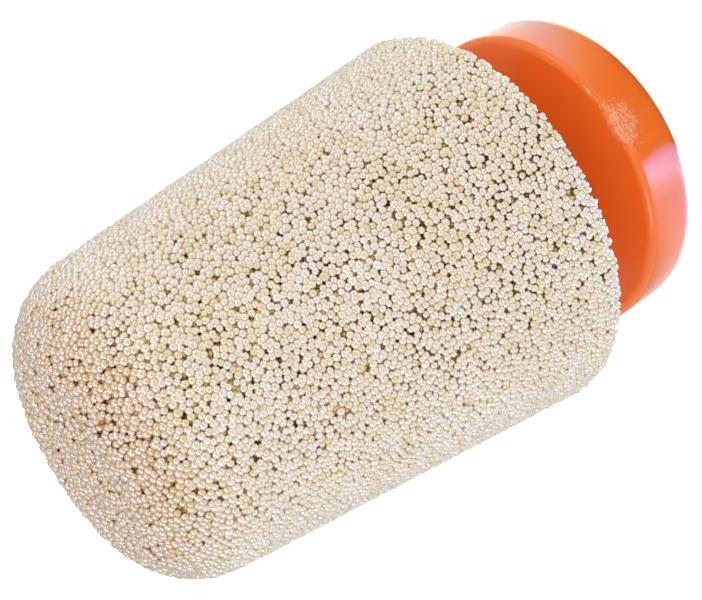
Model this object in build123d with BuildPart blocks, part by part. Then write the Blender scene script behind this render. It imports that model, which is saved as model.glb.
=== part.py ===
from build123d import *
import os

# A filter for the end of a fluid hose: a thimble of sintered bronze beads, closed at one end,
# with a moulded hose fitting pressed into its mouth.
#
# Frame: Z is the axis of both pieces and Z = 0 is the back of the flange, on which the filter
# stands. The closed end of the cup points up. All sizes are millimetres, or degrees for angles.

# Sintered cup, outside
cup_length = 18.4
cup_mouth_diameter = 16.0
cup_end_diameter = 11.6     # where the tapered side would meet the closed end, were it not rounded
cup_end_radius = 3.3
cup_mouth_edge = 0.15       # broken edge around the mouth

# Sintered cup, inside
cup_wall = 3.2              # level thickness of the side below the seat
cup_end_wall = 3.0
cavity_end_bevel = 1.2      # left by the bevelled tip of the mould's core pin
seat_depth = 5.0            # press seat for the fitting's plug
seat_shoulder = 0.8         # ledge at the bottom of the seat, on which the plug rests
seat_lead_in = 0.3

# Hose fitting, outside
flange_diameter = 13.0
flange_thickness = 2.7
flange_front_radius = 0.3
flange_back_radius = 0.8
neck_diameter = 6.6
neck_length = 3.7           # open groove between the flange and the cup's mouth
neck_root = 0.2             # bevel between the neck and the flange

# Plug of the fitting, inside the cup
plug_clearance = 0.1        # radial, between the plug and the seat
plug_lead_in = 0.3
plug_wall = 1.4             # skirt left around the cored middle
plug_floor = 1.4            # floor of the core above the cup's mouth
core_draft = 1.5
rib_count = 2               # crush ribs that hold the plug in the seat
rib_pitch = 1.8
rib_crest = 0.3
rib_base = 0.6

# Hose socket and outlet passage
socket_diameter = 5.0       # outside diameter of the hose that is pushed in
socket_lead_in = 0.4
stop_web = 1.8              # between the end of the hose and the cored middle of the plug
passage_diameter = 3.0

# Heights and radii that follow from the sizes above
mouth_height = flange_thickness + neck_length
shoulder_height = mouth_height + seat_depth
end_height = mouth_height + cup_length
cavity_end_height = end_height - cup_end_wall
core_floor_height = mouth_height + plug_floor
socket_depth = core_floor_height - stop_web
side_taper = (cup_mouth_diameter - cup_end_diameter) / 2 / cup_length


def side_radius(height):
    """Outside radius of the cup's tapered side at a height, before the closed end is rounded."""
    return cup_mouth_diameter / 2 - side_taper * (height - mouth_height)


cavity_mouth_radius = side_radius(shoulder_height) - cup_wall
cavity_end_side_radius = side_radius(cavity_end_height) - cup_wall
seat_radius = cavity_mouth_radius + seat_shoulder
plug_radius = seat_radius - plug_clearance
core_radius = plug_radius - plug_wall


def ring_at(piece, radius, height):
    """The circular edge of a piece with this radius at this height."""
    rings = piece.edges().filter_by(GeomType.CIRCLE)
    return rings.sort_by(lambda ring: abs(ring.radius - radius) + abs(ring.center().Z - height))[0]


# Sintered cup: a tapered thimble whose closed end is flat in the middle and well rounded
with BuildPart() as sintered_cup:
    with BuildSketch(Plane.XZ):
        with BuildLine():
            Polyline(
                (0, mouth_height),
                (cup_mouth_diameter / 2, mouth_height),
                (cup_end_diameter / 2, end_height),
                (0, end_height),
                close=True,
            )
        make_face()
    revolve(axis=Axis.Z)
    fillet(ring_at(sintered_cup, cup_end_diameter / 2, end_height), cup_end_radius)
    chamfer(ring_at(sintered_cup, cup_mouth_diameter / 2, mouth_height), cup_mouth_edge)

    # Cavity with the draft of the outside, opening through a step into the straight press seat
    with BuildSketch(Plane.XZ):
        with BuildLine():
            Polyline(
                (0, mouth_height),
                (seat_radius, mouth_height),
                (seat_radius, shoulder_height),
                (cavity_mouth_radius, shoulder_height),
                (cavity_end_side_radius, cavity_end_height),
                (0, cavity_end_height),
                close=True,
            )
        make_face()
    revolve(axis=Axis.Z, mode=Mode.SUBTRACT)
    chamfer(ring_at(sintered_cup, cavity_end_side_radius, cavity_end_height), cavity_end_bevel)
    chamfer(ring_at(sintered_cup, seat_radius, mouth_height), seat_lead_in)

sintered_cup.part.label = "sintered_cup"


# Hose fitting: flange, neck and plug moulded in one, on one axis
with BuildPart() as hose_fitting:
    with BuildSketch(Plane.XY):
        Circle(flange_diameter / 2)
    extrude(amount=flange_thickness)
    fillet(ring_at(hose_fitting, flange_diameter / 2, 0), flange_back_radius)
    fillet(ring_at(hose_fitting, flange_diameter / 2, flange_thickness), flange_front_radius)

    with BuildSketch(Plane.XY.offset(flange_thickness)):
        Circle(neck_diameter / 2)
    extrude(amount=neck_length)
    chamfer(ring_at(hose_fitting, neck_diameter / 2, flange_thickness), neck_root)

    with BuildSketch(Plane.XY.offset(mouth_height)):
        Circle(plug_radius)
    extrude(amount=seat_depth)
    chamfer(ring_at(hose_fitting, plug_radius, shoulder_height), plug_lead_in)

    # Crush ribs around the plug, evenly spaced about its middle, with their crests on the seat
    for rib in range(rib_count):
        rib_height = (mouth_height + shoulder_height) / 2 + (rib - (rib_count - 1) / 2) * rib_pitch
        with BuildSketch(Plane.XZ):
            with BuildLine():
                Polyline(
                    (core_radius, rib_height - rib_base / 2),
                    (plug_radius, rib_height - rib_base / 2),
                    (seat_radius, rib_height - rib_crest / 2),
                    (seat_radius, rib_height + rib_crest / 2),
                    (plug_radius, rib_height + rib_base / 2),
                    (core_radius, rib_height + rib_base / 2),
                    close=True,
                )
            make_face()
        revolve(axis=Axis.Z)

    # Middle of the plug cored out from the cup's side, with draft for the mould's core pin
    with BuildSketch(Plane.XY.offset(shoulder_height)):
        Circle(core_radius)
    extrude(amount=core_floor_height - shoulder_height, taper=core_draft, mode=Mode.SUBTRACT)

    # Socket that takes the hose up to a stop, and the passage that leads on into the cup
    with Locations(Plane(origin=(0, 0, 0), z_dir=(0, 0, -1))):
        CounterBoreHole(passage_diameter / 2, socket_diameter / 2, socket_depth, depth=shoulder_height)
    chamfer(ring_at(hose_fitting, socket_diameter / 2, 0), socket_lead_in)

hose_fitting.part.label = "hose_fitting"


os.makedirs("parts", exist_ok=True)
for piece in (sintered_cup, hose_fitting):
    export_step(piece.part, f"parts/{piece.part.label}.step")
    box = piece.part.bounding_box()
    print(piece.part.label, "volume", round(piece.part.volume, 3), "from Z", round(box.min.Z, 3),
          "to", round(box.max.Z, 3))
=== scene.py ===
# %% [markdown]
# # A sintered bronze hose filter
#
# The object is a small filter for the end of a fluid hose. A tapered cup is sintered from bronze
# beads, and an orange plastic fitting is pressed into its mouth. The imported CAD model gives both
# pieces at their real size. This notebook gives them their looks: a skin of real beads for the
# cup, and a glossy moulded finish for the fitting.

# %% Load the frame
import math

import bpy
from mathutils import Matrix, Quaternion, Vector


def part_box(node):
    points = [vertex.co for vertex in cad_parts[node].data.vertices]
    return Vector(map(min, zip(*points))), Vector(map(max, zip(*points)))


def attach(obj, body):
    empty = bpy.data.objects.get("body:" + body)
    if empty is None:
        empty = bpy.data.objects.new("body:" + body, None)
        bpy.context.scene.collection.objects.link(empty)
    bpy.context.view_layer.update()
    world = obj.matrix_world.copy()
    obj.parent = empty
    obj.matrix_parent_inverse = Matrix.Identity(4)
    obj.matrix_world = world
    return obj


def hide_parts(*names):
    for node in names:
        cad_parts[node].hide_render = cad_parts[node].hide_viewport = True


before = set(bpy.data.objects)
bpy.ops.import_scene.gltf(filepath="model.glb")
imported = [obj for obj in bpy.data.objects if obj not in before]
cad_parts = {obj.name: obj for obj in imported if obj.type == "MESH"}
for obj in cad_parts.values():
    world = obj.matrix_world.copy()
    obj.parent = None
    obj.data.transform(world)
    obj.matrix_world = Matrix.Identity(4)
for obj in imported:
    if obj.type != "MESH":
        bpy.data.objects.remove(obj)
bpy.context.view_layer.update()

print("CAD nodes:", ", ".join(sorted(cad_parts)))

# %% [markdown]
# Blender works in metres here, and the object is 25 mm tall. Writing sizes as so many millimetres
# keeps them readable. Four small helpers follow. They turn a colour written as sRGB hex into the
# linear values that shaders expect, add one node with its settings and links, start a material,
# and show a mesh as an object.

# %% Units and small helpers
MM = 0.001
MIX_A, MIX_B, MIX_RESULT = 6, 7, 2             # the colour sockets of a Mix node, whose names aren't unique
RANDOM_MIN, RANDOM_MAX, RANDOM_VALUE = 2, 3, 1  # and the number sockets of a Random Value node


def linear_colour(code):
    """A colour written as sRGB hex, such as "#E8A040", as the linear RGBA that shaders expect."""
    parts = [int(code[i:i + 2], 16) / 255 for i in (1, 3, 5)]
    return [c / 12.92 if c <= 0.04045 else ((c + 0.055) / 1.055) ** 2.4 for c in parts] + [1.0]


def add_node(tree, kind, inputs=None, **settings):
    """A node of this kind with its settings. Each input is given a value, a socket, or another node,
    which stands for its first output."""
    node = tree.nodes.new(kind)
    for name, value in settings.items():
        setattr(node, name, value)
    for key, value in (inputs or {}).items():
        if isinstance(value, bpy.types.Node):
            value = value.outputs[0]
        if isinstance(value, bpy.types.NodeSocket):
            tree.links.new(value, node.inputs[key])
        else:
            node.inputs[key].default_value = value
    return node


def new_material(name):
    """A material with an empty node tree, and that tree."""
    material = bpy.data.materials.new(name)
    material.use_nodes = True
    material.node_tree.nodes.clear()
    return material, material.node_tree


def mesh_object(name, mesh):
    """A new object at the origin that shows this mesh."""
    obj = bpy.data.objects.new(name, mesh)
    bpy.context.scene.collection.objects.link(obj)
    return obj


print("#E8A040 as linear values:", [round(part, 3) for part in linear_colour("#E8A040")])

# %% [markdown]
# ## Camera
#
# The photograph looks at the closed end from a little above, and the filter lies across the frame,
# so the camera is rolled. Its place, in millimetres, comes from fitting the cup's outline and the
# flange's to the photograph. The lens is a short telephoto, close to the object.

# %% Place the camera
camera_place = Vector((-0.198, -45.865, 37.908)) * MM
camera_elevation = math.radians(28.9)
camera_roll = math.radians(-121.15)
camera_lens = 70.9
sensor_width = 36
nearest_seen, farthest_seen = 1 * MM, 10.0

camera_data = bpy.data.cameras.new("camera")
camera_data.lens = camera_lens
camera_data.sensor_width = sensor_width
camera_data.clip_start = nearest_seen
camera_data.clip_end = farthest_seen
camera = bpy.data.objects.new("camera", camera_data)
bpy.context.scene.collection.objects.link(camera)
looking = Vector((0, math.cos(camera_elevation), -math.sin(camera_elevation)))
camera.rotation_mode = "QUATERNION"
camera.rotation_quaternion = looking.to_track_quat("-Z", "Y") @ Quaternion((0, 0, 1), camera_roll)
camera.location = camera_place
bpy.context.scene.camera = camera
print("camera lens", camera_lens, "mm,", round(camera_place.length / MM, 1), "mm from the origin")

# %% [markdown]
# ## Sintered bronze
#
# The cup is tin bronze: round beads of powder, heated in a mould until they grow together where
# they touch. Each bead is a small satin mirror. A noise texture on a smooth cup could fake the
# beads, but not their round highlights or the depth between them, so the beads are real and the
# material only has to be good metal. Light that bounces between them takes up the metal's colour
# each time, and turns the pores golden brown by itself.
#
# No two beads came out of the furnace alike. Each reads a tone of its own from an attribute, from
# straw yellow through cream to a pinkish white. A soft cloud of warmer metal lies over them, and
# the closed end is painted a little darker and browner, as painted shade. A fine bump is the grain of each
# bead.

# %% Bead material
bead_tone_attribute = "bead_tone"
cloud_size = 3.0 * MM
cloud_edges = (0.4, 0.7)               # values of the noise where the cloud starts and is full
# Painted shade: the closed end is multiplied a little darker and browner
end_shade_heights = (22.3 * MM, 24.6 * MM)  # the painted shade of the closed end starts and is full here
end_shade_tint = "#F3E9E1"
grain_size = 0.10 * MM                 # the real grain, about 0.02 mm, is too fine to show
grain_height = 0.012 * MM


def sintered_bronze(name, tones, roughness, cloud_colour, cloud_share, metallic=1.0):
    """Bare sintered bronze. The tones are (share of beads, colour) stops, and a cloud tints them."""
    material, tree = new_material(name)
    place = add_node(tree, "ShaderNodeTexCoord").outputs["Object"]
    tone = add_node(tree, "ShaderNodeAttribute", attribute_name=bead_tone_attribute)
    bead = add_node(tree, "ShaderNodeValToRGB", {"Fac": tone.outputs["Fac"]})
    stops = bead.color_ramp.elements
    for position, _ in tones[1:-1]:
        stops.new(position)
    for stop, (_, colour) in zip(stops, tones):
        stop.color = linear_colour(colour)
    cloud = add_node(tree, "ShaderNodeTexNoise", {
        "Vector": place, "Scale": 1 / cloud_size, "Detail": 3.0, "Roughness": 0.6})
    cloud_mask = add_node(tree, "ShaderNodeMapRange", {
        "Value": cloud, "From Min": cloud_edges[0], "From Max": cloud_edges[1], "To Max": cloud_share})
    mixed = add_node(tree, "ShaderNodeMix", {
        "Factor": cloud_mask, MIX_A: bead, MIX_B: linear_colour(cloud_colour)}, data_type="RGBA")
    height = add_node(tree, "ShaderNodeSeparateXYZ", {0: place})
    # Painted shade, darker and browner towards the closed end
    end_shade = add_node(tree, "ShaderNodeMapRange", {
        "Value": height.outputs["Z"], "From Min": end_shade_heights[0], "From Max": end_shade_heights[1],
    }, interpolation_type="SMOOTHSTEP")
    end_shaded = add_node(tree, "ShaderNodeMix", {
        "Factor": end_shade, MIX_A: mixed.outputs[MIX_RESULT], MIX_B: linear_colour(end_shade_tint),
    }, data_type="RGBA", blend_type="MULTIPLY")
    grain = add_node(tree, "ShaderNodeTexNoise", {
        "Vector": place, "Scale": 1 / grain_size, "Detail": 1.0})
    relief = add_node(tree, "ShaderNodeBump", {"Height": grain, "Distance": grain_height})
    shader = add_node(tree, "ShaderNodeBsdfPrincipled", {
        "Base Color": end_shaded.outputs[MIX_RESULT],
        "Metallic": metallic,
        "Roughness": roughness,
        "Normal": relief,
    })
    add_node(tree, "ShaderNodeOutputMaterial", {"Surface": shader})
    print(name, "with", len(tones), "tones")
    return material


# %% [markdown]
# The skin's beads are all metal. In a real pore the light bounces more often than a render can
# follow, and comes back ochre and copper red. So the beads of the second layer, which show only in
# the pores, get those hues and are half metallic, and the core at the bottom is a plain warm tan.

# %% Three bronzes
bead_bronze = sintered_bronze(
    "sintered_tin_bronze_beads",
    ((0.0, "#DED2B7"), (0.22, "#E4DED0"), (0.6, "#E7E2DB"), (0.85, "#E8DFDE"), (1.0, "#E9E7E5")),
    roughness=0.17, cloud_colour="#E2D4B7", cloud_share=0.3)
inner_bronze = sintered_bronze(
    "sintered_tin_bronze_inner",
    ((0.0, "#D2BE70"), (0.3, "#EAD29C"), (0.7, "#F2DCB8"), (1.0, "#DAA283")),
    roughness=0.35, cloud_colour="#E0BC84", cloud_share=0.35, metallic=0.5)
deep_bronze = sintered_bronze(
    "sintered_tin_bronze_deep",
    ((0.0, "#EFCF94"), (1.0, "#FBE6BC")),
    roughness=0.6, cloud_colour="#E0B878", cloud_share=0.5, metallic=0.0)

# %% [markdown]
# ## Moulded plastic
#
# The fitting is moulded nylon, dyed orange all through. Nylon lets some light into its skin, so the
# deep groove glows red-orange where an opaque paint would go dark, and subsurface scattering does
# that here. The skin is glossy as it left the mould, with faint waves where it shrank as it cooled.

# %% Skin of the plastic
# The pale orange is partly the scuff's wear and partly painted highlight: the scuff's sparkle and a glint on
# the front edge
plastic_orange, worn_and_highlight_orange = "#FF7F2C", "#FFC8B0"
plastic_roughness = (0.2, 0.3)      # as moulded, and where worn
nylon_ior = 1.53
scatter_depth = 1.5 * MM
scatter_reach = (1.0, 0.3, 0.1)     # shares of that depth which red, green and blue light reach
wave_size = 1.4 * MM
wave_height = 0.005 * MM

moulded_orange, tree = new_material("moulded_orange_nylon")
place = add_node(tree, "ShaderNodeTexCoord").outputs["Object"]
waves = add_node(tree, "ShaderNodeTexNoise", {"Vector": place, "Scale": 1 / wave_size, "Detail": 1.0})
swell = add_node(tree, "ShaderNodeBump", {"Height": waves, "Distance": wave_height})
print("waves", round(wave_size / MM, 1), "mm long")

# %% [markdown]
# Handling has scuffed one patch of the rim, which is duller. Its paler colour is partly that wear and
# partly a painted highlight, the sparkle of light on the rough patch. A thin pale line along the front
# edge is a painted glint. Both could be painted on with a mask image, but a soft ellipsoid in space
# needs no image and stays where it is put. A noise of small specks, drawn out along the rim, breaks them up.

# %% Scuffs and a painted glint on the rim
scuffs_and_glint = (  # (centre, half sizes along the rim, across it and up, all in millimetres, turn in degrees, depth)
    # a scuff, duller from wear and painted paler as a highlight
    ((0.25, -6.5, 2.4), (1.6, 0.8, 1.25), 0, 1.0),
    # a painted glint along the front edge
    ((1.9, -6.14, 2.66), (1.1, 0.1, 0.1), 17, 1.4),
)
scuff_and_glint_middle = 0.3      # share of a mark's size that is at full strength
speck_size = 0.09 * MM  # the real specks, under 0.05 mm, are too fine to show
speck_stretch = 2.0     # along the rim
wear_and_highlight_weight = 0.25      # against the specks' own noise
wear_and_highlight_edges = (0.66, 0.84)   # wear, highlight and noise together, where the pale colour starts and is full
wear_and_highlight_cover = 0.85

wear_and_highlight = 0.0
for centre, half_sizes, turn, depth in scuffs_and_glint:
    inside = add_node(tree, "ShaderNodeMapping", {
        "Vector": place, "Location": Vector(centre) * MM, "Rotation": (0, 0, math.radians(turn)),
        "Scale": Vector(half_sizes) * MM,
    }, vector_type="TEXTURE")
    away = add_node(tree, "ShaderNodeVectorMath", {0: inside}, operation="LENGTH")
    near = add_node(tree, "ShaderNodeMapRange", {
        "Value": away.outputs["Value"], "From Min": 1.0, "From Max": scuff_and_glint_middle, "To Max": depth,
    }, interpolation_type="SMOOTHSTEP")
    wear_and_highlight = add_node(tree, "ShaderNodeMath", {0: wear_and_highlight, 1: near}, operation="MAXIMUM")
along_rim = add_node(tree, "ShaderNodeMapping", {"Vector": place, "Scale": (1 / speck_stretch, 1, 1)})
specks = add_node(tree, "ShaderNodeTexNoise", {
    "Vector": along_rim, "Scale": 1 / speck_size, "Detail": 3.0, "Roughness": 0.7})
speckled = add_node(tree, "ShaderNodeMath", {0: wear_and_highlight, 1: wear_and_highlight_weight, 2: specks}, operation="MULTIPLY_ADD")
scuff_and_highlight = add_node(tree, "ShaderNodeMapRange", {
    "Value": speckled, "From Min": wear_and_highlight_edges[0], "From Max": wear_and_highlight_edges[1], "To Max": wear_and_highlight_cover})
print("scuffs_and_glint", len(scuffs_and_glint))

# %% Moulded orange plastic
# Painted highlight: the pale orange of the scuff and of the front-edge glint is mixed into the colour
colour = add_node(tree, "ShaderNodeMix", {
    "Factor": scuff_and_highlight, MIX_A: linear_colour(plastic_orange), MIX_B: linear_colour(worn_and_highlight_orange),
}, data_type="RGBA")
dull = add_node(tree, "ShaderNodeMapRange", {
    "Value": wear_and_highlight, "To Min": plastic_roughness[0], "To Max": plastic_roughness[1]})
shader = add_node(tree, "ShaderNodeBsdfPrincipled", {
    "Base Color": colour.outputs[MIX_RESULT],
    "Roughness": dull,
    "IOR": nylon_ior,
    "Subsurface Weight": 1.0,
    "Subsurface Radius": scatter_reach,
    "Subsurface Scale": scatter_depth,
    "Normal": swell,
})
add_node(tree, "ShaderNodeOutputMaterial", {"Surface": shader})
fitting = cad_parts["hose_fitting"]
fitting.data.materials.clear()
fitting.data.materials.append(moulded_orange)
print(fitting.name, "is", moulded_orange.name)

# %% [markdown]
# ## The core of the cup
#
# Only the outermost beads can be seen, so the cup is built as a plain core under a skin of beads.
# The core keeps the whole form of the cup's solid, with the press seat and the cavity inside. It
# could be cut from the CAD solid, but turning one outline about the axis is simpler, and the same
# outline, at other depths, later carries the beads.

# %% Sizes of the cup
# The heights are measured on the CAD node, and the rest are the sizes it was made with
mouth_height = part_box("sintered_cup")[0].z
end_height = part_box("sintered_cup")[1].z
mouth_radius = 8.0 * MM
end_radius = 5.8 * MM
end_rounding = 3.3 * MM
seat_radius = 5.0 * MM
seat_depth = 5.0 * MM
cavity_mouth_radius = 4.2 * MM
end_wall = 3.0 * MM
cavity_end_bevel = 1.2 * MM
side_slope = math.atan2(mouth_radius - end_radius, end_height - mouth_height)
print("taper of the side in degrees:", round(math.degrees(side_slope), 2))

# %% An outline, and how it is turned
rounding_rings = 14


def outside_outline(depth):
    """The cup's outside as (radius, height) points, this deep below its surface, from the mouth up."""
    mouth_edge = mouth_radius - depth / math.cos(side_slope)

    def side_radius(height):
        return mouth_edge - (height - mouth_height) * math.tan(side_slope)

    rounding = end_rounding - depth
    top = end_height - depth
    centre_height = top - rounding
    tangent_height = centre_height + rounding * math.sin(side_slope)
    centre_radius = side_radius(tangent_height) - rounding * math.cos(side_slope)
    points = [(side_radius(mouth_height + depth), mouth_height + depth)]
    for ring in range(rounding_rings + 1):
        angle = side_slope + (math.pi / 2 - side_slope) * ring / rounding_rings
        radius = centre_radius + rounding * math.cos(angle)
        points.append((radius, centre_height + rounding * math.sin(angle)))
    return points + [(0, top)]


def turned_mesh(name, outline, segments):
    """A mesh made by turning a line of (radius, height) points about the axis, outside on its right."""
    points, rings, faces = [], [], []
    for radius, height in outline:
        count = segments if radius > 0 else 1
        rings.append([len(points) + i for i in range(count)])
        for i in range(count):
            turn = math.tau * i / segments
            points.append((radius * math.cos(turn), radius * math.sin(turn), height))
    for low, high in zip(rings, rings[1:]):
        for i in range(segments):
            corners = [low[i % len(low)], low[(i + 1) % len(low)]]
            corners += [high[(i + 1) % len(high)], high[i % len(high)]]
            faces.append(list(dict.fromkeys(corners)))
    mesh = bpy.data.meshes.new(name)
    mesh.from_pydata(points, [], faces)
    mesh.shade_smooth()
    return mesh


print("points of the outside outline:", len(outside_outline(0)))

# %% Turn the core
core_depth = 0.40 * MM
core_segments = 128
sharp_edge = math.radians(40)

shoulder_height = mouth_height + seat_depth
cavity_end_height = end_height - end_wall
bevel_foot_height = cavity_end_height - cavity_end_bevel
cavity_slope = math.tan(side_slope)
cavity_end_radius = cavity_mouth_radius - (cavity_end_height - shoulder_height) * cavity_slope
bevel_foot_radius = cavity_mouth_radius - (bevel_foot_height - shoulder_height) * cavity_slope
inside_outline = [
    (0, cavity_end_height),
    (cavity_end_radius - cavity_end_bevel, cavity_end_height),
    (bevel_foot_radius, bevel_foot_height),
    (cavity_mouth_radius, shoulder_height),
    (seat_radius, shoulder_height),
    (seat_radius, mouth_height + core_depth),
]
core_mesh = turned_mesh("cup_core", inside_outline + outside_outline(core_depth), core_segments)
core_mesh.set_sharp_from_angle(angle=sharp_edge)
core = mesh_object("cup_core", core_mesh)
core.data.materials.append(deep_bronze)
print("core faces", len(core_mesh.polygons))

# %% [markdown]
# ## The skin of beads
#
# The beads were poured into a smooth mould, so the outermost ones all touch one smooth surface,
# and beads of a second layer show in the gaps between them. Placing 27,000 beads by hand is out of
# the question, and scattering them at random leaves clumps and holes. Geometry Nodes can settle
# them by rule instead. Two trees share the work: the first finds the centres of a whole layer at
# once, because beads push each other across every border, and the second puts a ball on each
# centre between two heights, so that no piece of the skin grows too heavy.

# %% Helpers for node trees
def new_tree(name, inputs, output):
    """A Geometry Nodes tree with these (name, kind) inputs and one geometry output, and what it is given."""
    tree = bpy.data.node_groups.new(name, "GeometryNodeTree")
    for title, kind in inputs:
        tree.interface.new_socket(title, in_out="INPUT", socket_type="NodeSocket" + kind)
    tree.interface.new_socket(output, in_out="OUTPUT", socket_type="NodeSocketGeometry")
    print("tree", name, "with", len(inputs), "inputs")
    return tree, add_node(tree, "NodeGroupInput").outputs


def grown_mesh(tree, name, start, **values):
    """The plain mesh that a tree makes of a starting mesh, with these values for its inputs."""
    holder = mesh_object(name, start)
    modifier = holder.modifiers.new(name, "NODES")
    modifier.node_group = tree
    keys = {item.name: item.identifier for item in tree.interface.items_tree if item.in_out == "INPUT"}
    for title, value in values.items():
        modifier[keys[title.replace("_", " ").title()]] = value
    depsgraph = bpy.context.evaluated_depsgraph_get()
    mesh = bpy.data.meshes.new_from_object(holder.evaluated_get(depsgraph))
    bpy.data.objects.remove(holder)
    mesh.name = name
    return mesh


# %% [markdown]
# Each size that a tree needs is a named input, so that one tree serves both layers.

# %% Start the tree that settles bead centres
settle, given = new_tree("settled_beads", (
    ("Surface", "Geometry"), ("Bead Diameter", "Float"), ("Spacing", "Float"), ("Rim Spacing", "Float"),
    ("Rim Gain", "Float"), ("Size Spread", "Float"), ("Sink", "Float"), ("Shake", "Float"),
    ("Missing", "Float"), ("Rim Radius", "Float"), ("Rim Height", "Float"), ("Loose Low", "Float"),
    ("Loose High", "Float"), ("Loose Sink", "Float"), ("Loose Drop", "Float"),
    ("Loose Missing", "Float"), ("Seed", "Int")), "Centres")
here = add_node(settle, "GeometryNodeInputPosition")

# %% [markdown]
# The start is a scatter of points that keep a least distance, a little under the spacing that they
# settle to. A row of points around the mouth joins them and is held fast from here on, because the
# real beads fill the mould's sharp corner there. Each point gets a number, which later picks its
# random values, so that they stay the same wherever the point moves.

# %% Scatter points, with a row around the mouth
scatter_share = 0.73   # of the spacing
scatter_most = 5e8     # points per square metre, more than the least distance lets through

least = add_node(settle, "ShaderNodeMath", {0: given["Spacing"], 1: scatter_share}, operation="MULTIPLY")
scatter = add_node(settle, "GeometryNodeDistributePointsOnFaces", {
    "Mesh": given["Surface"], "Distance Min": least, "Density Max": scatter_most, "Seed": given["Seed"],
}, distribute_method="POISSON")
rim_length = add_node(settle, "ShaderNodeMath", {0: given["Rim Radius"], 1: math.tau}, operation="MULTIPLY")
rim_share = add_node(settle, "ShaderNodeMath", {0: rim_length, 1: given["Rim Spacing"]}, operation="DIVIDE")
rim_count = add_node(settle, "ShaderNodeMath", {0: rim_share}, operation="ROUND")
circle = add_node(settle, "GeometryNodeMeshCircle", {"Vertices": rim_count, "Radius": given["Rim Radius"]})
lift = add_node(settle, "ShaderNodeCombineXYZ", {"Z": given["Rim Height"]})
raised = add_node(settle, "GeometryNodeTransform", {"Geometry": circle, "Translation": lift})
rim = add_node(settle, "GeometryNodeMeshToPoints", {"Mesh": raised})
rim_marked = add_node(settle, "GeometryNodeStoreNamedAttribute", {
    "Geometry": rim, "Name": "on_rim", "Value": True}, data_type="BOOLEAN")
joined = add_node(settle, "GeometryNodeJoinGeometry")
for points in (scatter, rim_marked):
    settle.links.new(points.outputs[0], joined.inputs[0])
index = add_node(settle, "GeometryNodeInputIndex")
numbered = add_node(settle, "GeometryNodeStoreNamedAttribute", {
    "Geometry": joined, "Name": "bead_number", "Value": index}, data_type="INT")
on_rim = add_node(settle, "GeometryNodeInputNamedAttribute", {"Name": "on_rim"}, data_type="BOOLEAN")
number = add_node(settle, "GeometryNodeInputNamedAttribute", {"Name": "bead_number"}, data_type="INT")
free = add_node(settle, "FunctionNodeBooleanMath", {0: on_rim}, operation="NOT")
print("nodes after the scatter", len(settle.nodes))

# %% [markdown]
# Sieved powder isn't all one size. Most beads are a little under the mean and a few are well over
# it, so an even random number is raised to a power before it becomes a size. The beads of the rim
# row are larger still, as they look in the mould's corner.

# %% Give each bead its share of the mean size
size_skew = 1.6
size_over = 2.0    # of the spread, for the largest
size_under = 0.77  # of the spread, for the smallest, which keeps the mean at 1

chance = add_node(settle, "FunctionNodeRandomValue", {
    RANDOM_MIN: 0.0, RANDOM_MAX: 1.0, "ID": number, "Seed": 7})
skewed = add_node(settle, "ShaderNodeMath", {
    0: chance.outputs[RANDOM_VALUE], 1: size_skew}, operation="POWER")
under = add_node(settle, "ShaderNodeMath", {0: given["Size Spread"], 1: size_under}, operation="MULTIPLY")
smallest = add_node(settle, "ShaderNodeMath", {0: 1.0, 1: under}, operation="SUBTRACT")
over = add_node(settle, "ShaderNodeMath", {0: given["Size Spread"], 1: size_over}, operation="MULTIPLY")
growth = add_node(settle, "ShaderNodeMath", {0: skewed, 1: over}, operation="MULTIPLY")
share = add_node(settle, "ShaderNodeMath", {0: smallest, 1: growth}, operation="ADD")
rim_growth = add_node(settle, "ShaderNodeMath", {0: given["Rim Gain"], 1: on_rim}, operation="MULTIPLY")
gain = add_node(settle, "ShaderNodeMath", {0: 1.0, 1: rim_growth}, operation="ADD")
full_share = add_node(settle, "ShaderNodeMath", {0: share, 1: gain}, operation="MULTIPLY")
sized = add_node(settle, "GeometryNodeStoreNamedAttribute", {
    "Geometry": numbered, "Name": "bead_size", "Value": full_share}, data_type="FLOAT")
size = add_node(settle, "GeometryNodeInputNamedAttribute", {"Name": "bead_size"}, data_type="FLOAT")
print("largest bead, as a share of the spread over the mean:", round(size_over - size_under, 2))

# %% [markdown]
# Shaking settles real beads side by side. Here a repeat zone does it: any two nearest neighbours
# that are closer than their sizes allow push each other apart, and are put back on the surface.

# %% Let neighbours push each other apart
settling_steps = 24
push_share = 0.45   # of the overlap, so that a pair together makes up nearly all of it

step_in = add_node(settle, "GeometryNodeRepeatInput")
step_out = add_node(settle, "GeometryNodeRepeatOutput")
step_in.pair_with_output(step_out)
step_out.repeat_items.clear()
step_out.repeat_items.new("GEOMETRY", "Points")
step_in.inputs["Iterations"].default_value = settling_steps
settle.links.new(sized.outputs[0], step_in.inputs["Points"])
nearest = add_node(settle, "GeometryNodeIndexOfNearest")
there = add_node(settle, "GeometryNodeFieldAtIndex", {
    "Value": here, "Index": nearest}, data_type="FLOAT_VECTOR")
away = add_node(settle, "ShaderNodeVectorMath", {0: here, 1: there}, operation="SUBTRACT")
gap = add_node(settle, "ShaderNodeVectorMath", {0: away}, operation="LENGTH")
their_size = add_node(settle, "GeometryNodeFieldAtIndex", {
    "Value": size, "Index": nearest}, data_type="FLOAT")
both_sizes = add_node(settle, "ShaderNodeMath", {0: size, 1: their_size}, operation="ADD")
mean_size = add_node(settle, "ShaderNodeMath", {0: both_sizes, 1: 0.5}, operation="MULTIPLY")
reach = add_node(settle, "ShaderNodeMath", {0: given["Spacing"], 1: mean_size}, operation="MULTIPLY")
overlap = add_node(settle, "ShaderNodeMath", {0: reach, 1: gap.outputs["Value"]}, operation="SUBTRACT")
push = add_node(settle, "ShaderNodeMath", {0: overlap, 1: 0.0}, operation="MAXIMUM")
own_push = add_node(settle, "ShaderNodeMath", {0: push, 1: push_share}, operation="MULTIPLY")
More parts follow.
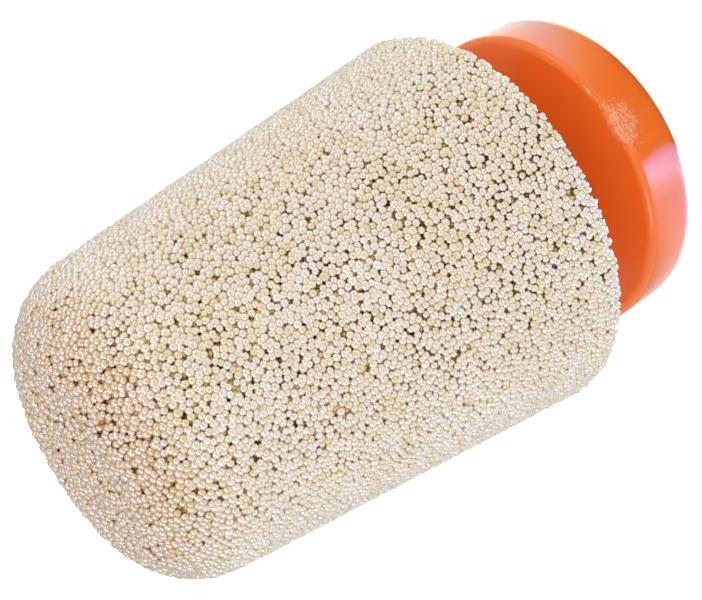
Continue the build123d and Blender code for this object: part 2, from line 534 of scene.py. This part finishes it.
way = add_node(settle, "ShaderNodeVectorMath", {0: away}, operation="NORMALIZE")
shift = add_node(settle, "ShaderNodeVectorMath", {0: way, "Scale": own_push}, operation="SCALE")
moved = add_node(settle, "GeometryNodeSetPosition", {
    "Geometry": step_in.outputs["Points"], "Selection": free, "Offset": shift})
back = add_node(settle, "GeometryNodeProximity", {0: given["Surface"]}, target_element="FACES")
seated = add_node(settle, "GeometryNodeSetPosition", {
    "Geometry": moved, "Selection": free, "Position": back})
settle.links.new(seated.outputs[0], step_out.inputs["Points"])
print("settling steps", settling_steps)

# %% [markdown]
# Settled beads would lie almost in rows, so one last shake moves each a little along the surface.
# Then each gets its depth. Big and small beads lie flush with the mould, less a random sink, and
# at the flat closed end they lie looser, with some sunk deeper.

# %% Shake the beads and set their depth
jolt_more = add_node(settle, "ShaderNodeMath", {0: 1.0, 1: on_rim}, operation="ADD")
jolt = add_node(settle, "ShaderNodeMath", {0: given["Shake"], 1: jolt_more}, operation="MULTIPLY")
loose_way = add_node(settle, "FunctionNodeRandomValue", {
    0: (-1, -1, -1), 1: (1, 1, 1), "ID": number, "Seed": 5}, data_type="FLOAT_VECTOR")
shaken = add_node(settle, "ShaderNodeVectorMath", {0: loose_way, "Scale": jolt}, operation="SCALE")
jolted = add_node(settle, "GeometryNodeSetPosition", {
    "Geometry": step_out.outputs["Points"], "Offset": shaken})
landed = add_node(settle, "GeometryNodeSetPosition", {"Geometry": jolted, "Position": back})

normal = add_node(settle, "GeometryNodeInputNormal")
outward = add_node(settle, "GeometryNodeSampleNearestSurface", {
    "Mesh": given["Surface"], "Value": normal}, data_type="FLOAT_VECTOR")
radius = add_node(settle, "ShaderNodeMath", {0: given["Bead Diameter"], 1: 0.5}, operation="MULTIPLY")
own_radius = add_node(settle, "ShaderNodeMath", {0: radius, 1: size}, operation="MULTIPLY")
flush = add_node(settle, "ShaderNodeMath", {0: radius, 1: own_radius}, operation="SUBTRACT")
height = add_node(settle, "ShaderNodeSeparateXYZ", {0: here})
looseness = add_node(settle, "ShaderNodeMapRange", {
    "Value": height.outputs["Z"], "From Min": given["Loose Low"], "From Max": given["Loose High"]})
loose_sink = add_node(settle, "ShaderNodeMath", {0: looseness, 1: given["Loose Sink"]}, operation="MULTIPLY")
most_sink = add_node(settle, "ShaderNodeMath", {0: given["Sink"], 1: loose_sink}, operation="ADD")
chance = add_node(settle, "FunctionNodeRandomValue", {
    RANDOM_MIN: 0.0, RANDOM_MAX: 1.0, "ID": number, "Seed": 9})
own_sink = add_node(settle, "ShaderNodeMath", {
    0: most_sink, 1: chance.outputs[RANDOM_VALUE]}, operation="MULTIPLY")
loose_drop = add_node(settle, "ShaderNodeMath", {0: looseness, 1: given["Loose Drop"]}, operation="MULTIPLY")
level = add_node(settle, "ShaderNodeMath", {0: flush, 1: loose_drop}, operation="SUBTRACT")
rise = add_node(settle, "ShaderNodeMath", {0: level, 1: own_sink}, operation="SUBTRACT")
risen = add_node(settle, "ShaderNodeVectorMath", {0: outward, "Scale": rise}, operation="SCALE")
settled = add_node(settle, "GeometryNodeSetPosition", {"Geometry": landed, "Offset": risen})
print("nodes that place the beads", len(settle.nodes))

# %% [markdown]
# A few beads broke away in handling, and more of the loose ones of the closed end, where larger
# pores show. The rim row stays whole.

# %% Break a few beads away
loose_lost = add_node(settle, "ShaderNodeMath", {
    0: looseness, 1: given["Loose Missing"]}, operation="MULTIPLY")
share_lost = add_node(settle, "ShaderNodeMath", {0: given["Missing"], 1: loose_lost}, operation="ADD")
chance = add_node(settle, "FunctionNodeRandomValue", {
    RANDOM_MIN: 0.0, RANDOM_MAX: 1.0, "ID": number, "Seed": 13})
broken = add_node(settle, "FunctionNodeCompare", {
    0: chance.outputs[RANDOM_VALUE], 1: share_lost}, operation="LESS_THAN")
lost = add_node(settle, "FunctionNodeBooleanMath", {0: broken, 1: free}, operation="AND")
kept = add_node(settle, "GeometryNodeDeleteGeometry", {"Geometry": settled, "Selection": lost})
centres = add_node(settle, "GeometryNodePointsToVertices", {0: kept})
add_node(settle, "NodeGroupOutput", {"Centres": centres})
print("nodes that settle the beads", len(settle.nodes))

# %% [markdown]
# The second tree keeps the centres between two heights and puts a ball on each. With so many beads
# a ball must have few faces. A cube of 24 faces blown up to a ball is rounder than a sphere of as
# many, and has no poles. The hardly seen balls of the second layer are plainer still, of 20 faces.

# %% A tree that puts a ball on each centre
put_balls, given = new_tree("beads", (
    ("Centres", "Geometry"), ("Bead Diameter", "Float"), ("Squeeze", "Float"), ("Coarse", "Bool"),
    ("Lowest", "Float"), ("Highest", "Float"), ("Material", "Material")), "Beads")
here = add_node(put_balls, "GeometryNodeInputPosition")
height = add_node(put_balls, "ShaderNodeSeparateXYZ", {0: here}).outputs["Z"]
too_low = add_node(put_balls, "FunctionNodeCompare", {0: height, 1: given["Lowest"]}, operation="LESS_THAN")
too_high = add_node(put_balls, "FunctionNodeCompare", {
    0: height, 1: given["Highest"]}, operation="GREATER_EQUAL")
outside = add_node(put_balls, "FunctionNodeBooleanMath", {0: too_low, 1: too_high}, operation="OR")
zone = add_node(put_balls, "GeometryNodeDeleteGeometry", {
    "Geometry": given["Centres"], "Selection": outside})
cube = add_node(put_balls, "GeometryNodeMeshCube", {
    "Size": (1, 1, 1), "Vertices X": 3, "Vertices Y": 3, "Vertices Z": 3})
round_way = add_node(put_balls, "ShaderNodeVectorMath", {0: here}, operation="NORMALIZE")
fine_ball = add_node(put_balls, "GeometryNodeSetPosition", {"Geometry": cube, "Position": round_way})
coarse_ball = add_node(put_balls, "GeometryNodeMeshIcoSphere", {"Radius": 1.0, "Subdivisions": 1})
ball = add_node(put_balls, "GeometryNodeSwitch", {
    "Switch": given["Coarse"], "False": fine_ball, "True": coarse_ball}, input_type="GEOMETRY")
print("nodes for the balls", len(put_balls.nodes))

# %% [markdown]
# Real beads aren't quite round, so each ball is squeezed a little and turned at random, and then
# takes its size and a tone for its material. The tree ends in real faces with that material.

# %% Squeeze, turn and tone each ball
number = add_node(put_balls, "GeometryNodeInputNamedAttribute", {"Name": "bead_number"}, data_type="INT")
size = add_node(put_balls, "GeometryNodeInputNamedAttribute", {"Name": "bead_size"}, data_type="FLOAT")
turn = add_node(put_balls, "FunctionNodeRandomValue", {
    0: (0, 0, 0), 1: (math.tau,) * 3, "ID": number, "Seed": 3}, data_type="FLOAT_VECTOR")
uneven = add_node(put_balls, "FunctionNodeRandomValue", {
    0: (-1, -1, -1), 1: (1, 1, 1), "ID": number, "Seed": 15}, data_type="FLOAT_VECTOR")
lean = add_node(put_balls, "ShaderNodeVectorMath", {0: uneven, "Scale": given["Squeeze"]}, operation="SCALE")
shape = add_node(put_balls, "ShaderNodeVectorMath", {0: lean, 1: (1, 1, 1)}, operation="ADD")
radius = add_node(put_balls, "ShaderNodeMath", {0: given["Bead Diameter"], 1: 0.5}, operation="MULTIPLY")
own_radius = add_node(put_balls, "ShaderNodeMath", {0: radius, 1: size}, operation="MULTIPLY")
full = add_node(put_balls, "ShaderNodeVectorMath", {0: shape, "Scale": own_radius}, operation="SCALE")
beads = add_node(put_balls, "GeometryNodeInstanceOnPoints", {
    "Points": zone, "Instance": ball, "Rotation": turn, "Scale": full})
tone = add_node(put_balls, "FunctionNodeRandomValue", {
    RANDOM_MIN: 0.0, RANDOM_MAX: 1.0, "ID": number, "Seed": 11})
plain = add_node(put_balls, "GeometryNodeStoreNamedAttribute", {
    "Geometry": beads, "Name": bead_tone_attribute, "Value": tone.outputs[RANDOM_VALUE],
}, domain="INSTANCE", data_type="FLOAT")
for name in ("on_rim", "bead_number", "bead_size"):
    plain = add_node(put_balls, "GeometryNodeRemoveAttribute", {"Geometry": plain, "Name": name})
real = add_node(put_balls, "GeometryNodeRealizeInstances", {0: plain})
smooth = add_node(put_balls, "GeometryNodeSetShadeSmooth", {0: real})
finished = add_node(put_balls, "GeometryNodeSetMaterial", {0: smooth, "Material": given["Material"]})
add_node(put_balls, "NodeGroupOutput", {"Beads": finished})
print("nodes that make the balls", len(put_balls.nodes))

# %% [markdown]
# The photograph is too soft to tell most beads apart, so their size is an estimate: its bright spots
# lie about 0.32 mm apart along the cup when hardly smoothed, and up to 0.5 mm when smoothed more.
# The outer layer's beads are drawn a little closer than their diameter, because sintered beads have
# grown into each other. The second layer lies deeper, most of all at the edge of the mouth, so that it
# never stands out of the first, and its balls are larger and fewer, because a pore shows only a part.

# %% What each layer is like
proud = 0.06 * MM        # how far the outermost beads stand out of the CAD surface
rim_proud = 0.1 * MM     # and the rim row below the mouth
rim_spacing = 0.39 * MM
rim_gain = 0.15
size_spread = 0.2
bead_sink = 0.06 * MM
bead_shake = 0.04 * MM
bead_squeeze = 0.08
loose_heights = (24.0 * MM, 24.65 * MM)
surface_segments = 192
layers = (
    {"name": "outer", "material": bead_bronze, "coarse": False, "seed": 1,
     "diameter": 0.35 * MM, "spacing": 0.27 * MM, "drop": 0.0, "deeper": 0.0, "missing": 0.005,
     "loose_sink": 0.06 * MM, "loose_drop": 0.0, "loose_missing": 0.17},
    {"name": "inner", "material": inner_bronze, "coarse": True, "seed": 2,
     "diameter": 0.40 * MM, "spacing": 0.328 * MM, "drop": 0.11 * MM, "deeper": 0.07 * MM, "missing": 0.0,
     "loose_sink": 0.08 * MM, "loose_drop": 0.08 * MM, "loose_missing": 0.04},
)
# Heights between which the pieces of a layer lie, cut so that none grows too heavy
zones = (0, 8.5 * MM, 11 * MM, 14 * MM, 17 * MM, 20.5 * MM, 30 * MM)
print("layers", len(layers), "of", len(zones) - 1, "pieces each")

# %% Lay the layers
bead_pieces = []
for layer in layers:
    outline = outside_outline(layer["diameter"] / 2 - proud + layer["drop"])
    rim_radius, rim_height = outline[0][0] - layer["deeper"], outline[0][1] - rim_proud
    outline[0] = (rim_radius, rim_height)
    annulus_start = (seat_radius + layer["diameter"] / 2, rim_height)
    surface = turned_mesh("bead_surface_" + layer["name"], [annulus_start] + outline, surface_segments)
    centres = grown_mesh(
        settle, "bead_centres_" + layer["name"], surface,
        bead_diameter=layer["diameter"], spacing=layer["spacing"], rim_spacing=rim_spacing,
        rim_gain=rim_gain, size_spread=size_spread, sink=bead_sink, shake=bead_shake,
        missing=layer["missing"], rim_radius=rim_radius, rim_height=rim_height,
        loose_low=loose_heights[0], loose_high=loose_heights[1], loose_sink=layer["loose_sink"],
        loose_drop=layer["loose_drop"], loose_missing=layer["loose_missing"], seed=layer["seed"])
    print(layer["name"], "beads", len(centres.vertices))
    for number, (low, high) in enumerate(zip(zones, zones[1:]), 1):
        mesh = grown_mesh(
            put_balls, f"beads_{layer['name']}_{number}", centres, bead_diameter=layer["diameter"],
            squeeze=bead_squeeze, coarse=layer["coarse"], lowest=low, highest=high,
            material=layer["material"])
        bead_pieces.append(mesh_object(mesh.name, mesh))
        print(mesh.name, "triangles", sum(len(face.vertices) - 2 for face in mesh.polygons))
cup_faces = [face for piece in bead_pieces + [core] for face in piece.data.polygons]
print("triangles in all", sum(len(face.vertices) - 2 for face in cup_faces))

# %% [markdown]
# Each piece now rides on the root body, and the CAD node of the cup is hidden.

# %% Ride, and hide the CAD cup
for piece in [core] + bead_pieces:
    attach(piece, "root")
    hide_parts("sintered_cup")
print("pieces of the cup", len(bead_pieces) + 1)

# %% [markdown]
# ## Floor and light
#
# A catalogue picture of such a small part is taken on white card, in a tent of white cloth, under
# soft lamps. The card is one plain face, wide enough that its edge never shows.

# %% White card
card_size = 2.0

card_mesh = bpy.data.meshes.new("white_card")
half = card_size / 2
corners = [(-half, -half, 0), (half, -half, 0), (half, half, 0), (-half, half, 0)]
card_mesh.from_pydata(corners, [], [(0, 1, 2, 3)])
card = mesh_object("white_card", card_mesh)
print("card", card_size, "m wide")

# %% [markdown]
# Pale paper under plain light would come out grey. More light would bleach the filter, so the card
# has a little light of its own instead, which only the camera and mirrors see, told apart by Light
# Path. The filter's soft shadow stays on it. Close to the filter, mirrors see it darker, because
# the flange shades what is right under it.

# %% What the camera and mirrors see of the card
card_colour = "#E4E4E4"
camera_lift = 0.74                  # light added to the card as the camera sees it
mirror_lift = 0.21                  # and as mirrors see it, away from the filter
close_radii = (12 * MM, 9.5 * MM)   # the card close to the filter starts and is reached here
close_shade = 0.8                   # how much darker the paper is there to a mirror

card_white, tree = new_material("white_card")
ray = add_node(tree, "ShaderNodeLightPath")
place = add_node(tree, "ShaderNodeTexCoord").outputs["Object"]
centre = add_node(tree, "ShaderNodeVectorMath", {0: place}, operation="LENGTH")
close = add_node(tree, "ShaderNodeMapRange", {
    "Value": centre.outputs["Value"], "From Min": close_radii[0], "From Max": close_radii[1],
}, interpolation_type="SMOOTHSTEP")
mirrored = add_node(tree, "ShaderNodeMath", {
    0: ray.outputs["Is Glossy Ray"], 1: ray.outputs["Is Transmission Ray"]}, operation="MAXIMUM")
far_away = add_node(tree, "ShaderNodeMath", {0: 1.0, 1: close}, operation="SUBTRACT")
afar = add_node(tree, "ShaderNodeMath", {0: mirrored, 1: far_away}, operation="MULTIPLY")
nearby = add_node(tree, "ShaderNodeMath", {0: mirrored, 1: close}, operation="MULTIPLY")
to_camera = add_node(tree, "ShaderNodeMath", {
    0: ray.outputs["Is Camera Ray"], 1: camera_lift}, operation="MULTIPLY")
strength = add_node(tree, "ShaderNodeMath", {0: afar, 1: mirror_lift, 2: to_camera}, operation="MULTIPLY_ADD")
lift = add_node(tree, "ShaderNodeEmission", {"Strength": strength})
shade = add_node(tree, "ShaderNodeMapRange", {"Value": nearby, "To Max": close_shade})
shaded = add_node(tree, "ShaderNodeMix", {
    "Factor": shade, MIX_A: linear_colour(card_colour), MIX_B: (0, 0, 0, 1)}, data_type="RGBA")
paper = add_node(tree, "ShaderNodeBsdfDiffuse", {"Color": shaded.outputs[MIX_RESULT]})
print("light of the card: to the camera", camera_lift, "and to mirrors", mirror_lift)

# %% [markdown]
# The flange stands on the card, and its glossy rim mirrors the card right in front of it. In the
# photograph the rim shows two windows with dark between them: a cool, bright one at the left with a
# slanting edge, and a paler one at the right. Lamps that mirror there would stand inside the card,
# so the card itself carries the windows, as a ramp of colours along X. Near the glint at the left
# the ramp leans, which gives the slanting edge, and its light is stronger.

# %% Windows that the rim mirrors
glint_place = Vector((-3.4, -8.1, 0)) * MM
glint_radius = 4.0 * MM
glint_edge = 0.5               # the glint's own share where its light starts to grow
window_light = (6.6, 10.8)     # of the windows, and at the heart of the glint
window_stops = (  # (x in millimetres, the light that the rim of the flange mirrors there)
    (-8.0, "#1F373F"), (-6.3, "#75878C"), (-4.7, "#89A1CE"), (-3.7, "#8BCBFF"), (-2.6, "#64A0F3"),
    (-2.0, "#000000"), (2.8, "#000000"), (4.8, "#6F775A"), (6.3, "#5295A2"), (8.0, "#899495"),
)
leftmost, rightmost = window_stops[0][0], window_stops[-1][0]

away = add_node(tree, "ShaderNodeVectorMath", {0: place, 1: glint_place}, operation="DISTANCE")
glint = add_node(tree, "ShaderNodeMapRange", {
    "Value": away.outputs["Value"], "From Min": glint_radius, "From Max": 0.0,
}, interpolation_type="SMOOTHSTEP")
sides = add_node(tree, "ShaderNodeSeparateXYZ", {0: place})
ahead = add_node(tree, "ShaderNodeMath", {0: glint_place.y, 1: sides.outputs["Y"]}, operation="SUBTRACT")
lean = add_node(tree, "ShaderNodeMath", {0: ahead, 1: glint}, operation="MULTIPLY")
leaning = add_node(tree, "ShaderNodeMath", {0: sides.outputs["X"], 1: lean}, operation="ADD")
along = add_node(tree, "ShaderNodeMapRange", {
    "Value": leaning, "From Min": leftmost * MM, "From Max": rightmost * MM})
windows = add_node(tree, "ShaderNodeValToRGB", {"Fac": along})
stops = windows.color_ramp.elements
for x, _ in window_stops[1:-1]:
    stops.new((x - leftmost) / (rightmost - leftmost))
for stop, (_, colour) in zip(stops, window_stops):
    stop.color = linear_colour(colour)
level = add_node(tree, "ShaderNodeMapRange", {
    "Value": glint, "From Min": glint_edge, "To Min": window_light[0], "To Max": window_light[1]})
bright = add_node(tree, "ShaderNodeMath", {0: nearby, 1: level}, operation="MULTIPLY")
glow = add_node(tree, "ShaderNodeEmission", {"Color": windows, "Strength": bright})
both_lights = add_node(tree, "ShaderNodeAddShader", {0: lift, 1: glow})
lit_paper = add_node(tree, "ShaderNodeAddShader", {0: paper, 1: both_lights})
add_node(tree, "ShaderNodeOutputMaterial", {"Surface": lit_paper})
card.data.materials.append(card_white)
print("window stops", len(window_stops))

# %% [markdown]
# The tent is lit evenly, a little warm in front and cool behind, with a dimmer opening around the
# lens, so that the middle of each bead is a touch darker than its flanks. The camera itself sees
# plain white beyond the card.

# %% Soft light all round
tent_light = 0.99
opening_light = 0.87
opening_edges = (math.radians(40), math.radians(15))   # away from the lens
front_colour, rear_colour = "#FFF3DE", "#E0E5ED"
front_edges = (-0.2, 0.5)   # cosines of the directions where the front starts and is reached

world = bpy.data.worlds.new("studio")
bpy.context.scene.world = world
world.use_nodes = True
sky = world.node_tree
towards = add_node(sky, "ShaderNodeTexCoord").outputs["Generated"]
facing = add_node(sky, "ShaderNodeVectorMath", {
    0: towards, 1: camera_place.normalized()}, operation="DOT_PRODUCT").outputs["Value"]
tent = add_node(sky, "ShaderNodeMapRange", {
    "Value": facing,
    "From Min": math.cos(opening_edges[0]), "From Max": math.cos(opening_edges[1]),
    "To Min": tent_light, "To Max": opening_light,
}, interpolation_type="SMOOTHSTEP")
front = add_node(sky, "ShaderNodeMapRange", {
    "Value": facing, "From Min": front_edges[0], "From Max": front_edges[1]})
tinted = add_node(sky, "ShaderNodeMix", {
    "Factor": front, MIX_A: linear_colour(rear_colour), MIX_B: linear_colour(front_colour),
}, data_type="RGBA")
cloth = sky.nodes["Background"]
sky.links.new(tent.outputs["Result"], cloth.inputs["Strength"])
sky.links.new(tinted.outputs[MIX_RESULT], cloth.inputs["Color"])
seen = add_node(sky, "ShaderNodeLightPath").outputs["Is Camera Ray"]
white = add_node(sky, "ShaderNodeBackground", {"Color": (1, 1, 1, 1), "Strength": 1.0})
shown = add_node(sky, "ShaderNodeMixShader", {0: seen, 1: cloth, 2: white})
sky.links.new(shown.outputs["Shader"], sky.nodes["World Output"].inputs["Surface"])
bpy.context.scene.view_settings.view_transform = "Standard"
print("tent light", tent_light, "and", opening_light, "in its opening")

# %% [markdown]
# Three lamps add the shine. Two small softboxes at the sides, the left one cool, give each bead a
# sharp sparkle, and a large one above gives a broad, soft highlight.

# %% Softboxes
lamp_distance = 0.5
middle = Vector((0, 0, end_height / 2))


def softbox(name, azimuth, elevation, size, power, colour):
    """A square lamp that faces the filter's middle from this direction, in degrees, metres and watts."""
    data = bpy.data.lights.new(name, "AREA")
    data.size = size
    data.energy = power
    data.color = linear_colour(colour)[:3]
    lamp = bpy.data.objects.new(name, data)
    bpy.context.scene.collection.objects.link(lamp)
    turn, rise = math.radians(azimuth), math.radians(elevation)
    way = Vector((math.cos(turn) * math.cos(rise), math.sin(turn) * math.cos(rise), math.sin(rise)))
    lamp.location = middle + way * lamp_distance
    lamp.rotation_mode = "QUATERNION"
    lamp.rotation_quaternion = (-way).to_track_quat("-Z", "Y")
    print(name, power, "W")


softbox("left_softbox", azimuth=-150, elevation=35, size=0.16, power=0.46, colour="#C6DAFF")
softbox("right_softbox", azimuth=-25, elevation=20, size=0.16, power=0.18, colour="#FFFFFF")
softbox("top_softbox", azimuth=-80, elevation=75, size=0.5, power=0.4, colour="#FFFFFF")
